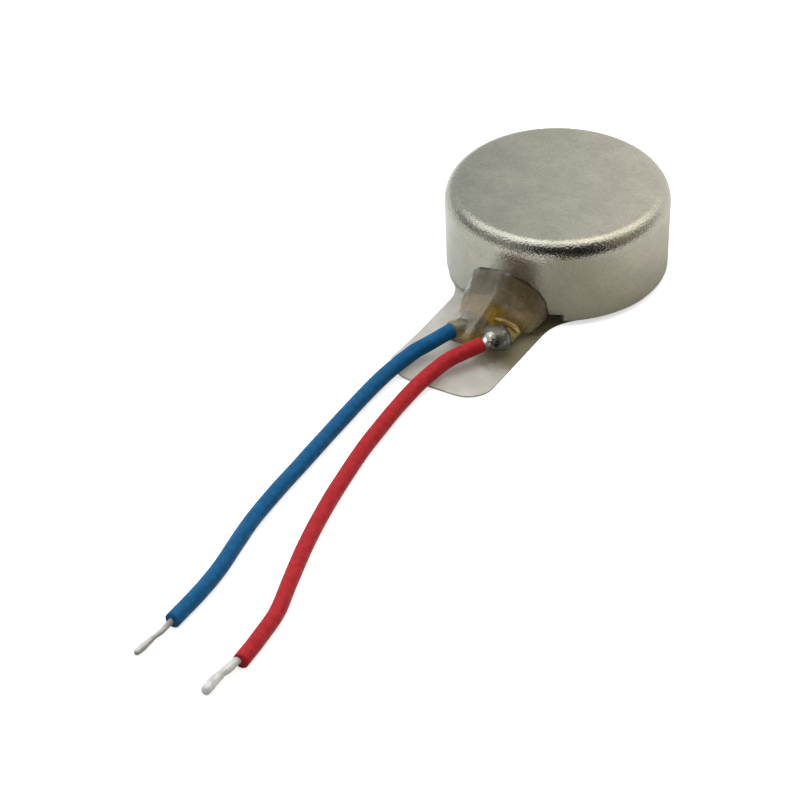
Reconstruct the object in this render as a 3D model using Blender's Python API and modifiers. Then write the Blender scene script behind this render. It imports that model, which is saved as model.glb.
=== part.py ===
"""Coin vibration motor: a brushed motor in a flat steel cup, with an eccentric rotor and two short leads.

The cup's axis is Z, and the release liner's underside is at Z = 0. The leads leave towards -Y.
"""

import math

import bmesh
import bpy
from mathutils import Matrix, Vector

MM = 0.001
GAP = 0.02 * MM

# Case
CASE_RADIUS = 4.0 * MM
CASE_TOP = 3.4 * MM
CASE_BASE = 0.18 * MM
CASE_FILLET = 0.55 * MM
CASE_DRAFT = 0.06 * MM
WALL = 0.2 * MM
TOP_THICKNESS = 0.25 * MM
WINDOW_HALF_WIDTH = 2.0 * MM
WINDOW_TOP = 0.48 * MM

# Base plate, with the shaft's collar, and a tongue under the circuit's tail with a notch on each side
PLATE_RADIUS = 3.7 * MM
PLATE_THICKNESS = 0.16 * MM
PLATE_NOTCH = -3.2 * MM
COLLAR_RADIUS = 0.74 * MM
COLLAR_TOP = 0.8 * MM
TONGUE_HALF_WIDTH = 1.05 * MM
TONGUE_END = -5.9 * MM
TAIL_HALF_WIDTH = 1.2 * MM
TAIL_END = -6.2 * MM

# Stuck to the base
LINER_THICKNESS = 0.06 * MM
LINER_RADIUS = 3.78 * MM
PAD_RADIUS = 3.4 * MM
TAB_HALF_WIDTH = 1.93 * MM
TAB_OFFSET = -0.25 * MM
TAB_END = -8.8 * MM
TAB_CORNER = 0.95 * MM
TAB_FILLETS = (1.4 * MM, 2.0 * MM)

# Stator
SHAFT_RADIUS = 0.4 * MM
SHAFT_TOP = 3.13 * MM
FLEX_RADIUS = 3.6 * MM
FLEX_THICKNESS = 0.07 * MM
MAGNET_INNER = 1.85 * MM
MAGNET_OUTER = 3.6 * MM
MAGNET_THICKNESS = 0.78 * MM
COPPER = 0.04 * MM
BRUSH_OFFSET = 1.15 * MM
BRUSH_WIDTH = 0.36 * MM
BRUSH_THICKNESS = 0.06 * MM
WASHER_THICKNESS = 0.06 * MM

# Rotor
ROTOR_RADIUS = 3.45 * MM
BOARD_BASE = 1.52 * MM
BOARD_THICKNESS = 0.2 * MM
BOARD_HUB_RADIUS = 1.9 * MM
BOARD_HALF_ANGLE = 102
SEGMENTS = 6
SEGMENT_GAP_ANGLE = 7
SEGMENT_INNER = 0.9 * MM
SEGMENT_OUTER = 1.6 * MM
BUSH_RADIUS = 0.8 * MM
BUSH_BORE = 0.44 * MM
BUSH_BASE = 0.9 * MM
BUSH_TOP = 3.0 * MM
RESIN_FLOOR = 0.1 * MM
COIL_THICKNESS = 0.84 * MM
COIL_WINDING = 0.5 * MM
COIL_CORNER = 0.36 * MM
COIL_HOLE_CORNER = 0.12 * MM
COIL_NEAR = 1.25 * MM
COIL_FAR = 3.22 * MM
COIL_NEAR_HALF_WIDTH = 0.62 * MM
COIL_FAR_HALF_WIDTH = 1.36 * MM
COIL_ANGLE = 62
WEIGHT_INNER = 1.45 * MM
WEIGHT_HALF_ANGLE = 24
WEIGHT_TOP = 2.92 * MM
RESIN_TOP = 2.66 * MM
RESIN_HUB_RADIUS = 1.35 * MM

# Solder, resin and leads
LEAD_RADIUS = 0.275 * MM
LEAD_END_RADIUS = 0.11 * MM
LEAD_END_SPACING = 0.4 * MM
DROP_SIZE = (0.16 * MM, 0.22 * MM, 0.16 * MM)
LAND_SIZE = (0.8 * MM, 0.9 * MM)
RED_LAND = (0.72 * MM, -5.7 * MM)
BLUE_LAND = (-0.62 * MM, -5.43 * MM)
RED_JOINT = (0.87 * MM, -6.06 * MM, 0.76 * MM)
BLUE_JOINT = (-0.64 * MM, -5.7 * MM, 0.64 * MM)
RED_JOINT_SIZE = (0.52 * MM, 0.5 * MM, 0.48 * MM)
BLUE_JOINT_SIZE = (0.33 * MM, 0.6 * MM, 0.27 * MM)
BLOB_HALF_WIDTHS = (1.65 * MM, 0.62 * MM)
BLOB_HEIGHTS = (1.88 * MM, 0.6 * MM)
BLOB_TOE_END = -6.4 * MM
SURFACE_Z = 0.28
TURNED_STEPS = 48

# Each lead's route in millimetres, from its solder joint to where its insulation ends
RED_ROUTE = [
    (0.56, -6.59, 0.72),
    (0.12, -7.26, 0.60),
    (-0.19, -7.90, 0.50),
    (-0.43, -9.22, 0.37),
    (-0.45, -10.87, 0.30),
    (-0.32, -12.92, SURFACE_Z),
    (-0.05, -14.94, SURFACE_Z),
    (0.33, -17.07, SURFACE_Z),
    (0.77, -18.92, SURFACE_Z),
    (1.21, -20.45, SURFACE_Z),
    (1.65, -21.98, SURFACE_Z),
    (1.81, -23.27, SURFACE_Z),
    (1.90, -24.54, SURFACE_Z),
]
BLUE_ROUTE = [
    (-0.70, -6.35, 0.77),
    (-1.14, -7.31, 0.62),
    (-1.43, -7.89, 0.50),
    (-1.70, -9.19, 0.37),
    (-1.78, -10.81, 0.30),
    (-1.75, -12.84, SURFACE_Z),
    (-1.69, -14.87, SURFACE_Z),
    (-1.63, -16.78, SURFACE_Z),
    (-1.53, -18.28, SURFACE_Z),
    (-1.35, -19.52, SURFACE_Z),
    (-1.13, -20.94, SURFACE_Z),
    (-1.04, -22.33, SURFACE_Z),
    (-1.04, -23.89, SURFACE_Z),
]

# The bare wires leave a little off the middle of their insulation
RED_END_ROUTE = [
    (1.80, -24.60, 0.29),
    (1.72, -25.01, 0.25),
    (1.65, -25.31, 0.22),
    (1.61, -25.70, 0.20),
    (1.62, -26.12, 0.18),
]
BLUE_END_ROUTE = [
    (-1.06, -23.95, 0.28),
    (-1.09, -24.44, 0.22),
    (-1.19, -24.81, 0.17),
    (-1.24, -25.18, 0.15),
    (-1.29, -25.55, 0.12),
]

FLEX_BASE = CASE_BASE + PLATE_THICKNESS + GAP
FLEX_TOP = FLEX_BASE + FLEX_THICKNESS
ON_FLEX = FLEX_TOP + GAP
BOARD_TOP = BOARD_BASE + BOARD_THICKNESS
ON_BOARD = BOARD_TOP + GAP
COIL_BASE = ON_BOARD + RESIN_FLOOR + GAP
ROTOR_Z = (BUSH_BASE + BUSH_TOP) / 2


def clear_scene():
    for item in list(bpy.data.objects):
        bpy.data.objects.remove(item)


def new_collection(name):
    made = bpy.data.collections.new(name)
    bpy.context.scene.collection.children.link(made)
    return made


def new_material(name, colour, roughness, metallic=0.0):
    made = bpy.data.materials.new(name)
    made.use_nodes = True
    shader = made.node_tree.nodes["Principled BSDF"]
    shader.inputs["Base Color"].default_value = (*colour, 1.0)
    shader.inputs["Roughness"].default_value = roughness
    shader.inputs["Metallic"].default_value = metallic
    return made


def place(name, data, material, parent=None):
    """An object in the part's collection. Data is in world space, so a child takes its parent's inverse."""
    made = bpy.data.objects.new(name, data)
    PARTS.objects.link(made)
    if material:
        data.materials.append(material)
    if parent:
        made.parent = parent
        made.matrix_parent_inverse = Matrix.Translation(parent.location).inverted()
    return made


def as_cutter(obj):
    PARTS.objects.unlink(obj)
    CUTTERS.objects.link(obj)
    obj.hide_render = True
    obj.display_type = "WIRE"
    return obj


def as_mesh(obj):
    """The same piece with its curve made a mesh and its caps welded."""
    graph = bpy.context.evaluated_depsgraph_get()
    mesh = bpy.data.meshes.new_from_object(obj.evaluated_get(graph))
    shape = bmesh.new()
    shape.from_mesh(mesh)
    bmesh.ops.remove_doubles(shape, verts=shape.verts, dist=1e-7)
    bmesh.ops.recalc_face_normals(shape, faces=shape.faces)
    shape.to_mesh(mesh)
    shape.free()
    name, parent = obj.name, obj.parent
    matrix = obj.matrix_world.copy()
    bpy.data.objects.remove(obj)
    made = bpy.data.objects.new(name, mesh)
    PARTS.objects.link(made)
    if parent:
        made.parent = parent
    made.matrix_world = matrix
    return made


def smooth(obj, degrees=35):
    obj.data.shade_smooth()
    obj.data.set_sharp_from_angle(angle=math.radians(degrees))
    return obj


def boolean(obj, tool, operation="DIFFERENCE"):
    modifier = obj.modifiers.new(operation.title() + " " + tool.name, "BOOLEAN")
    modifier.operation = operation
    modifier.object = tool
    modifier.solver = "EXACT"


def turned(name, profile, material, parent=None, closed=False, steps=TURNED_STEPS):
    """A solid of revolution about Z from (radius, z) points that run down its outer side."""
    mesh = bpy.data.meshes.new(name)
    edges = [(i, i + 1) for i in range(len(profile) - 1)]
    if closed:
        edges.append((len(profile) - 1, 0))
    mesh.from_pydata([(radius, 0, z) for radius, z in profile], edges, [])
    made = place(name, mesh, material, parent)
    screw = made.modifiers.new("Turn", "SCREW")
    screw.steps = steps
    screw.render_steps = steps
    screw.use_merge_vertices = True
    screw.merge_threshold = 1e-7
    screw.use_smooth_shade = False
    return made


def ring(name, inner, outer, low, high, material, parent=None, steps=TURNED_STEPS):
    profile = [(outer, high), (outer, low), (inner, low), (inner, high)]
    return turned(name, profile, material, parent, closed=True, steps=steps)


def flat(name, loops, low, high, material, parent=None):
    """A plate between two heights. The first loop is its outline, and the others are holes."""
    data = bpy.data.curves.new(name, "CURVE")
    data.dimensions = "2D"
    data.fill_mode = "BOTH"
    data.extrude = (high - low) / 2
    for loop in loops:
        spline = data.splines.new("POLY")
        spline.points.add(len(loop) - 1)
        for point, (x, y) in zip(spline.points, loop):
            point.co = (x, y, 0, 1)
        spline.use_cyclic_u = True
    made = place(name, data, material, parent)
    made.location.z = (high + low) / 2
    return made


def block(name, low, high, material=None):
    mesh = bpy.data.meshes.new(name)
    shape = bmesh.new()
    middle = (Vector(low) + Vector(high)) / 2
    size = Vector(high) - Vector(low)
    matrix = Matrix.Translation(middle) @ Matrix.Diagonal((*size, 1))
    bmesh.ops.create_cube(shape, size=1, matrix=matrix)
    shape.to_mesh(mesh)
    shape.free()
    return place(name, mesh, material)


def arc(radius, start, end, count, centre=(0, 0)):
    """Points on an arc, with both of its ends. The angles are in degrees."""
    points = []
    for i in range(count + 1):
        angle = math.radians(start + (end - start) * i / count)
        points.append(
            (centre[0] + radius * math.cos(angle), centre[1] + radius * math.sin(angle))
        )
    return points


def circle(radius, count):
    return arc(radius, 0, 360, count)[:-1]


def rounded(corners, radius, count=4):
    """The outline through these corners, with each one rounded. They run anticlockwise."""
    points = []
    for i, corner in enumerate(corners):
        here = Vector(corner)
        before = (Vector(corners[i - 1]) - here).normalized()
        after = (Vector(corners[(i + 1) % len(corners)]) - here).normalized()
        half = before.angle(after) / 2
        middle = here + (before + after).normalized() * radius / math.sin(half)
        first = here + before * radius / math.tan(half) - middle
        turn = math.pi - 2 * half
        for k in range(count + 1):
            offset = first.copy()
            offset.rotate(Matrix.Rotation(turn * k / count, 2))
            points.append(tuple(middle + offset))
    return points


def smooth_route(route, spacing):
    """Points on a smooth curve through the route's own points, in metres."""
    knots = [Vector(point) * MM for point in route]
    knots = [2 * knots[0] - knots[1], *knots, 2 * knots[-1] - knots[-2]]
    points = []
    for a, b, c, d in zip(knots, knots[1:], knots[2:], knots[3:]):
        count = max(1, round((c - b).length / spacing))
        for i in range(count):
            t = i / count
            points.append(
                0.5
                * (
                    2 * b
                    + (c - a) * t
                    + (2 * a - 5 * b + 4 * c - d) * t**2
                    + (3 * b - a - 3 * c + d) * t**3
                )
            )
    return [*points, knots[-2]]


def tube(name, route, radius, material, spacing=1.2 * MM, resolution=2):
    data = bpy.data.curves.new(name, "CURVE")
    data.dimensions = "3D"
    data.bevel_depth = radius
    data.bevel_resolution = resolution
    data.use_fill_caps = True
    points = smooth_route(route, spacing)
    spline = data.splines.new("POLY")
    spline.points.add(len(points) - 1)
    for point, place_on_route in zip(spline.points, points):
        point.co = (*place_on_route, 1)
    return place(name, data, material)


def ball(name, centre, size, material, segments=16, rings=10):
    mesh = bpy.data.meshes.new(name)
    shape = bmesh.new()
    matrix = Matrix.Translation(centre) @ Matrix.Diagonal((*size, 1))
    bmesh.ops.create_uvsphere(
        shape, u_segments=segments, v_segments=rings, radius=1, matrix=matrix
    )
    shape.to_mesh(mesh)
    shape.free()
    return smooth(place(name, mesh, material))


def case_cup(material):
    fillet_centre = (CASE_RADIUS - CASE_FILLET, CASE_TOP - CASE_FILLET)
    inner_top = CASE_TOP - TOP_THICKNESS
    inner_radius = CASE_RADIUS - CASE_DRAFT - WALL
    inner_fillet = CASE_FILLET - WALL
    inner_centre = (inner_radius - inner_fillet, inner_top - inner_fillet)
    profile = [(0, CASE_TOP)]
    profile += arc(CASE_FILLET, 90, 0, 6, fillet_centre)
    profile += [(CASE_RADIUS - CASE_DRAFT, CASE_BASE), (inner_radius, CASE_BASE)]
    profile += arc(inner_fillet, 0, 90, 3, inner_centre)
    profile.append((0, inner_top))
    cup = turned("case_cup", profile, material, steps=64)
    window = as_cutter(
        block(
            "window_cutter",
            (-WINDOW_HALF_WIDTH, -2 * CASE_RADIUS, -MM),
            (WINDOW_HALF_WIDTH, -CASE_RADIUS / 2, WINDOW_TOP),
        )
    )
    boolean(cup, window)
    return cup


def base_plate(material):
    top = CASE_BASE + PLATE_THICKNESS
    bore = SHAFT_RADIUS + GAP
    profile = [
        (COLLAR_RADIUS, COLLAR_TOP),
        (COLLAR_RADIUS, top),
        (PLATE_RADIUS, top),
        (PLATE_RADIUS, CASE_BASE),
        (bore, CASE_BASE),
        (bore, COLLAR_TOP),
    ]
    plate = turned("base_plate", profile, material, closed=True)
    notch = as_cutter(
        block(
            "plate_notch_cutter",
            (-WINDOW_HALF_WIDTH, -2 * PLATE_RADIUS, -MM),
            (WINDOW_HALF_WIDTH, PLATE_NOTCH, COLLAR_TOP),
        )
    )
    boolean(plate, notch)
    tongue = as_cutter(
        block(
            "tongue_shape",
            (-TONGUE_HALF_WIDTH, TONGUE_END, CASE_BASE),
            (TONGUE_HALF_WIDTH, -PLATE_RADIUS * 0.8, top),
        )
    )
    boolean(plate, tongue, "UNION")
    return plate


def shaft(material):
    chamfer = 0.08 * MM
    low = CASE_BASE + GAP
    profile = [
        (0, SHAFT_TOP),
        (SHAFT_RADIUS - chamfer, SHAFT_TOP),
        (SHAFT_RADIUS, SHAFT_TOP - chamfer),
        (SHAFT_RADIUS, low),
        (0, low),
    ]
    return turned("shaft", profile, material, steps=32)


def flex_circuit(material):
    """A round circuit on the plate, with a tail that passes out through the cup's window."""
    half_angle = math.degrees(math.asin(TAIL_HALF_WIDTH / FLEX_RADIUS))
    outline = arc(FLEX_RADIUS, -90 + half_angle, 270 - half_angle, 44)
    corner = 0.2 * MM
    for side, start in ((-1, 180), (1, 270)):
        centre = (side * (TAIL_HALF_WIDTH - corner), TAIL_END + corner)
        outline += arc(corner, start, start + 90, 3, centre)
    loops = [outline, circle(COLLAR_RADIUS + GAP, 32)]
    return flat("flex_circuit", loops, FLEX_BASE, FLEX_TOP, material)


def land(name, centre, material):
    signs = ((-0.5, -0.5), (0.5, -0.5), (0.5, 0.5), (-0.5, 0.5))
    corners = [(centre[0] + a * LAND_SIZE[0], centre[1] + b * LAND_SIZE[1]) for a, b in signs]
    return flat(name, [rounded(corners, 0.15 * MM, 3)], ON_FLEX, ON_FLEX + COPPER, material)


def magnet(material):
    low, high = ON_FLEX, ON_FLEX + MAGNET_THICKNESS
    chamfer = 0.06 * MM
    profile = [
        (MAGNET_OUTER - chamfer, high),
        (MAGNET_OUTER, high - chamfer),
        (MAGNET_OUTER, low),
        (MAGNET_INNER, low),
        (MAGNET_INNER, high - chamfer),
        (MAGNET_INNER + chamfer, high),
    ]
    return turned("ring_magnet", profile, material, closed=True)


def brush(name, side, material):
    """A leaf that stands on the circuit and rises to the commutator, with its free end forked."""
    middle = ON_FLEX + BRUSH_THICKNESS / 2 + 0.005 * MM
    leaf = [
        (-1.1, middle),
        (-0.55, middle),
        (-0.42, middle + 0.05 * MM),
        (0.40, 1.29 * MM),
        (0.60, 1.38 * MM),
        (0.74, 1.36 * MM),
        (0.84, 1.30 * MM),
    ]
    mesh = bpy.data.meshes.new(name)
    points = []
    for along, z in leaf:
        for across in (-0.5, 0.5):
            points.append(
                (side * (BRUSH_OFFSET + across * BRUSH_WIDTH), side * along * MM, z)
            )
    faces = [(2 * i, 2 * i + 1, 2 * i + 3, 2 * i + 2) for i in range(len(leaf) - 1)]
    mesh.from_pydata(points, [], faces)
    made = place(name, mesh, material)
    thickness = made.modifiers.new("Thickness", "SOLIDIFY")
    thickness.thickness = BRUSH_THICKNESS
    thickness.offset = 0
    thickness.use_even_offset = True
    fork_half_width = 0.04 * MM
    ends = sorted([side * 0.1 * MM, side * 1.5 * MM])
    fork = as_cutter(
        block(
            name + "_fork_cutter",
            (side * BRUSH_OFFSET - fork_half_width, ends[0], ON_FLEX),
            (side * BRUSH_OFFSET + fork_half_width, ends[1], BOARD_BASE),
        )
    )
    boolean(made, fork)
    return made


def sector(inner, outer, half_angle, count, heading=0):
    return [
        *arc(outer, heading - half_angle, heading + half_angle, count),
        *arc(inner, heading + half_angle, heading - half_angle, count),
    ]


def fan(outer, hub, half_angle):
    """The rotor's outline: a wide fan on its heavy side, and a small round hub on the other."""
    return [
        *arc(outer, -half_angle, half_angle, 26),
        *arc(hub, half_angle, 360 - half_angle, 14),
    ]


def rotor_board(material, spin):
    outline = fan(ROTOR_RADIUS, BOARD_HUB_RADIUS, BOARD_HALF_ANGLE)
    loops = [outline, circle(BUSH_RADIUS + GAP, 32)]
    return flat("rotor_board", loops, BOARD_BASE, BOARD_TOP, material, spin)


def commutator(material, spin):
    half_angle = 180 / SEGMENTS - SEGMENT_GAP_ANGLE / 2
    high = BOARD_BASE - GAP
    for i in range(SEGMENTS):
        outline = sector(SEGMENT_INNER, SEGMENT_OUTER, half_angle, 6, (i + 0.5) * 360 / SEGMENTS)
        flat(f"commutator_segment_{i + 1}", [outline], high - COPPER, high, material, spin)


def coil_corners(heading, inset):
    """A coil's four corners, running anticlockwise. The inset makes its hole."""
    near = COIL_NEAR + inset
    far = COIL_FAR - inset
    near_half = COIL_NEAR_HALF_WIDTH - inset * 0.72
    far_half = COIL_FAR_HALF_WIDTH - inset
    corners = [(near, -near_half), (far, -far_half), (far, far_half), (near, near_half)]
    turn = Matrix.Rotation(math.radians(heading), 2)
    return [tuple(turn @ Vector(corner)) for corner in corners]


def coil(name, heading, material, spin):
    loops = [
        rounded(coil_corners(heading, 0), COIL_CORNER),
        rounded(coil_corners(heading, COIL_WINDING), COIL_HOLE_CORNER, 2),
    ]
    return flat(name, loops, COIL_BASE, COIL_BASE + COIL_THICKNESS, material, spin)


def counterweight(material, spin):
    outline = sector(WEIGHT_INNER, ROTOR_RADIUS, WEIGHT_HALF_ANGLE, 12)
    return flat("counterweight", [outline], ON_BOARD, WEIGHT_TOP, material, spin)


def rotor_resin(material, spin):
    """The moulding round the bush, with open pockets for the coils and the weight."""
    loops = [
        fan(ROTOR_RADIUS, RESIN_HUB_RADIUS, BOARD_HALF_ANGLE - 2),
        circle(BUSH_RADIUS + GAP, 32),
    ]
    resin = as_mesh(flat("rotor_resin", loops, ON_BOARD, RESIN_TOP, material, spin))
    for name, heading in (("coil_1_pocket", COIL_ANGLE), ("coil_2_pocket", -COIL_ANGLE)):
        pocket_loops = [
            rounded(coil_corners(heading, -GAP), COIL_CORNER + GAP),
            rounded(coil_corners(heading, COIL_WINDING + GAP), COIL_HOLE_CORNER - GAP / 2, 2),
        ]
        pocket = as_mesh(flat(name, pocket_loops, COIL_BASE - GAP, WEIGHT_TOP, None))
        boolean(resin, as_cutter(pocket))
    half_angle = WEIGHT_HALF_ANGLE + math.degrees(GAP / WEIGHT_INNER)
    outline = sector(WEIGHT_INNER - GAP, ROTOR_RADIUS * 1.2, half_angle, 12)
    weight_pocket = as_mesh(flat("weight_pocket", [outline], BOARD_BASE, WEIGHT_TOP * 1.1, None))
    boolean(resin, as_cutter(weight_pocket))
    return resin


def tab_fillet(radius):
    """The centre of the hollow curve beside the tab, on +X, and the angle where it meets the disc."""
    x = TAB_HALF_WIDTH + radius
    y = -math.sqrt((LINER_RADIUS + radius) ** 2 - x**2)
    return x, y, math.degrees(math.atan2(y, x))


def release_liner(material):
    """A disc with a pull tab, whose sides meet the disc in long hollow curves."""
    left, right = TAB_FILLETS
    left_x, left_y, left_meet = tab_fillet(left)
    right_x, right_y, right_meet = tab_fillet(right)
    outline = arc(LINER_RADIUS, right_meet, 180 - left_meet, 44)
    outline += arc(left, -left_meet, 0, 6, (-left_x, left_y))
    for side, start in ((-1, 180), (1, 270)):
        centre = (side * (TAB_HALF_WIDTH - TAB_CORNER), TAB_END + TAB_CORNER)
        outline += arc(TAB_CORNER, start, start + 90, 6, centre)
    outline += arc(right, 180, 180 + right_meet, 8, (right_x, right_y))
    shifted = [(x + TAB_OFFSET * smooth_step(-y / CASE_RADIUS), y) for x, y in outline]
    return flat("release_liner", [shifted], 0, LINER_THICKNESS, material)


def smooth_step(t):
    t = min(1, max(0, t))
    return t * t * (3 - 2 * t)


def solder_joint(name, centre, size, material):
    """A ball with its foot cut flat on its land. What hangs over the end of the tail stays round."""
    joint = ball(name, centre, size, material)
    foot = ON_FLEX + COPPER + GAP
    x, y, _ = centre
    under = as_cutter(
        block(name + "_foot_cutter", (x - MM, TAIL_END - 2 * GAP, -MM), (x + MM, y + 2 * MM, foot))
    )
    boolean(joint, under)
    return joint


def red_lead_end(material):
    """Tinned strands with a drop of solder at their tip."""
    route = tube("red_lead_end", RED_END_ROUTE, LEAD_END_RADIUS, material, LEAD_END_SPACING)
    wire = as_mesh(route)
    centre = Vector(RED_END_ROUTE[-1]) * MM
    drop = as_cutter(ball("red_drop_shape", centre, DROP_SIZE, material, 12, 8))
    boolean(wire, drop, "UNION")
    return wire


def glue_blob(material):
    """Resin run over the window and the leads' joints: a tapered half cone, hollowed by what it covers."""
    wall_centre = Vector((0.02 * MM, -0.85 * CASE_RADIUS, FLEX_BASE))
    toe_centre = Vector((-0.5 * MM, BLOB_TOE_END, FLEX_BASE))
    mesh = bpy.data.meshes.new("glue_blob")
    shape = bmesh.new()
    bmesh.ops.create_cone(shape, cap_ends=True, segments=28, radius1=1, radius2=1, depth=1)
    for vertex in shape.verts:
        across, up, along = vertex.co.x, vertex.co.y, vertex.co.z + 0.5
        half_width = BLOB_HALF_WIDTHS[0] * (1 - along) + BLOB_HALF_WIDTHS[1] * along
        height = BLOB_HEIGHTS[0] * (1 - along) + BLOB_HEIGHTS[1] * along
        middle = wall_centre.lerp(toe_centre, along)
        vertex.co = middle + Vector((across * half_width, 0, up * height))
    bmesh.ops.recalc_face_normals(shape, faces=shape.faces)
    shape.to_mesh(mesh)
    shape.free()
    blob = place("glue_blob", mesh, material)
    foot = ON_FLEX + COPPER + GAP
    far = 8 * MM
    boolean(blob, as_cutter(block("blob_foot_cutter", (-far, -far, -far), (far, far, foot))))
    wall = ring("blob_wall_cutter", MM, CASE_RADIUS + GAP, -far, far, None, steps=64)
    boolean(blob, as_cutter(wall))
    clear = 2 * GAP
    joints = (
        ("blob_red_joint_cutter", RED_JOINT, RED_JOINT_SIZE),
        ("blob_blue_joint_cutter", BLUE_JOINT, BLUE_JOINT_SIZE),
    )
    for name, centre, size in joints:
        boolean(blob, as_cutter(ball(name, centre, [half + clear for half in size], None)))
    leads = (("blob_red_lead_cutter", RED_ROUTE), ("blob_blue_lead_cutter", BLUE_ROUTE))
    for name, route in leads:
        before = Vector(route[0]) * 1.3 - Vector(route[1]) * 0.3
        cutter = as_mesh(tube(name, [before, *route[:4]], LEAD_RADIUS + clear, None))
        boolean(blob, as_cutter(cutter))
    return blob


clear_scene()
PARTS = new_collection("coin_vibration_motor")
CUTTERS = new_collection("cutters")

STEEL = new_material("nickel_plated_steel", (0.62, 0.60, 0.56), 0.32, 1.0)
PIN_STEEL = new_material("pin_steel", (0.55, 0.55, 0.56), 0.2, 1.0)
MAGNET = new_material("magnet", (0.16, 0.16, 0.17), 0.45, 0.8)
POLYIMIDE = new_material("polyimide", (0.62, 0.33, 0.05), 0.3)
COPPER_LAND = new_material("tinned_copper", (0.8, 0.74, 0.62), 0.3, 1.0)
BRUSH_ALLOY = new_material("brush_alloy", (0.78, 0.6, 0.35), 0.25, 1.0)
WASHER = new_material("washer_film", (0.07, 0.07, 0.08), 0.5)
BOARD = new_material("circuit_board", (0.05, 0.24, 0.12), 0.45)
SEGMENT = new_material("gold_on_copper", (0.83, 0.6, 0.25), 0.22, 1.0)
BUSH = new_material("sintered_bronze", (0.45, 0.3, 0.16), 0.55, 1.0)
COIL = new_material("enamelled_copper", (0.6, 0.22, 0.08), 0.35, 1.0)
TUNGSTEN = new_material("tungsten_alloy", (0.33, 0.33, 0.34), 0.4, 1.0)
RESIN = new_material("rotor_resin", (0.03, 0.03, 0.035), 0.5)
SOLDER = new_material("solder", (0.75, 0.75, 0.74), 0.18, 1.0)
RED = new_material("red_insulation", (0.5, 0.03, 0.045), 0.45)
BLUE = new_material("blue_insulation", (0.02, 0.11, 0.32), 0.45)
TINNED = new_material("tinned_strands", (0.7, 0.69, 0.67), 0.3, 1.0)
GLUE = new_material("clear_resin", (0.34, 0.3, 0.2), 0.12)
ADHESIVE = new_material("adhesive", (0.75, 0.74, 0.7), 0.6)
LINER = new_material("liner_film", (0.6, 0.59, 0.55), 0.35)

rotor_spin = bpy.data.objects.new("rotor_spin", None)
rotor_spin.location = (0, 0, ROTOR_Z)
PARTS.objects.link(rotor_spin)

release_liner(LINER)
pad_base = LINER_THICKNESS + GAP
flat("adhesive_pad", [circle(PAD_RADIUS, 48)], pad_base, CASE_BASE - GAP, ADHESIVE)
base_plate(STEEL)
case_cup(STEEL)
shaft(PIN_STEEL)
flex_circuit(POLYIMIDE)
land("pad_red", RED_LAND, COPPER_LAND)
land("pad_blue", BLUE_LAND, COPPER_LAND)
magnet(MAGNET)
brush("brush_positive", 1, BRUSH_ALLOY)
brush("brush_negative", -1, BRUSH_ALLOY)
washer_bore = SHAFT_RADIUS + 2 * GAP
lower = COLLAR_TOP + GAP
upper = BUSH_TOP + GAP
ring("lower_washer", washer_bore, COLLAR_RADIUS, lower, lower + WASHER_THICKNESS, WASHER, steps=32)
ring("upper_washer", washer_bore, COLLAR_RADIUS, upper, upper + WASHER_THICKNESS, WASHER, steps=32)

rotor_board(BOARD, rotor_spin)
commutator(SEGMENT, rotor_spin)
ring("rotor_bush", BUSH_BORE, BUSH_RADIUS, BUSH_BASE, BUSH_TOP, BUSH, rotor_spin, steps=32)
coil("coil_1", COIL_ANGLE, COIL, rotor_spin)
coil("coil_2", -COIL_ANGLE, COIL, rotor_spin)
counterweight(TUNGSTEN, rotor_spin)
rotor_resin(RESIN, rotor_spin)

solder_joint("solder_joint_red", RED_JOINT, RED_JOINT_SIZE, SOLDER)
solder_joint("solder_joint_blue", BLUE_JOINT, BLUE_JOINT_SIZE, SOLDER)
tube("red_lead", RED_ROUTE, LEAD_RADIUS, RED)
tube("blue_lead", BLUE_ROUTE, LEAD_RADIUS, BLUE)
red_lead_end(TINNED)
tube("blue_lead_end", BLUE_END_ROUTE, LEAD_END_RADIUS, TINNED, LEAD_END_SPACING)
glue_blob(GLUE)
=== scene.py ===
"""Looks for the coin vibration motor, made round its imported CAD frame.

Shapes are worked out in millimetres and scaled to metres when they become pieces.
"""

import math

import bmesh
import bpy
from mathutils import Matrix, Vector, noise


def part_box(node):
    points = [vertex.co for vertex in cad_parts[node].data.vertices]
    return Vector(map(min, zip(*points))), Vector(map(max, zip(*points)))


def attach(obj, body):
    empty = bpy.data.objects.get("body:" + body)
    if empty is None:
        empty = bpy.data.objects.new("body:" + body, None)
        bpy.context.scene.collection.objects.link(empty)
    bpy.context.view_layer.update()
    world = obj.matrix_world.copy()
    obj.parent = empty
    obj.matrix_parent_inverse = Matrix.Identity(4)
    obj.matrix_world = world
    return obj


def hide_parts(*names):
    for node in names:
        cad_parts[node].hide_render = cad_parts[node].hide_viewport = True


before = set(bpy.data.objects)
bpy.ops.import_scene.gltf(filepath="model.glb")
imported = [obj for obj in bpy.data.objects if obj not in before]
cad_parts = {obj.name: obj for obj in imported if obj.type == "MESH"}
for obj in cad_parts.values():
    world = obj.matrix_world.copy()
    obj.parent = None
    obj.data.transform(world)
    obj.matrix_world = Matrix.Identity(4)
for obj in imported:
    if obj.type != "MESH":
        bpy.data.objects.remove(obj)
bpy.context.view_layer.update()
MM = 0.001


def cad_box(node):
    """The low and high corners of a CAD node, in millimetres."""
    return [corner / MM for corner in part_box(node)]


def cad_centre(node):
    low, high = cad_box(node)
    return (low + high) / 2


# Camera: the heading turns it to the object's right, and the roll tips the horizon. TO_RIGHT and
# TO_FRONT are its right, and the way towards it, along the floor
VIEW_HEADING = math.radians(30.5)
VIEW_ELEVATION = math.radians(36.3)
VIEW_ROLL = math.radians(-1.05)
CAMERA_PLACE = Vector((54.99, -104.58, 80.73))
LENS = 180
TO_RIGHT = (0.86, 0.51, 0)
TO_FRONT = (0.51, -0.86, 0)

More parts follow.
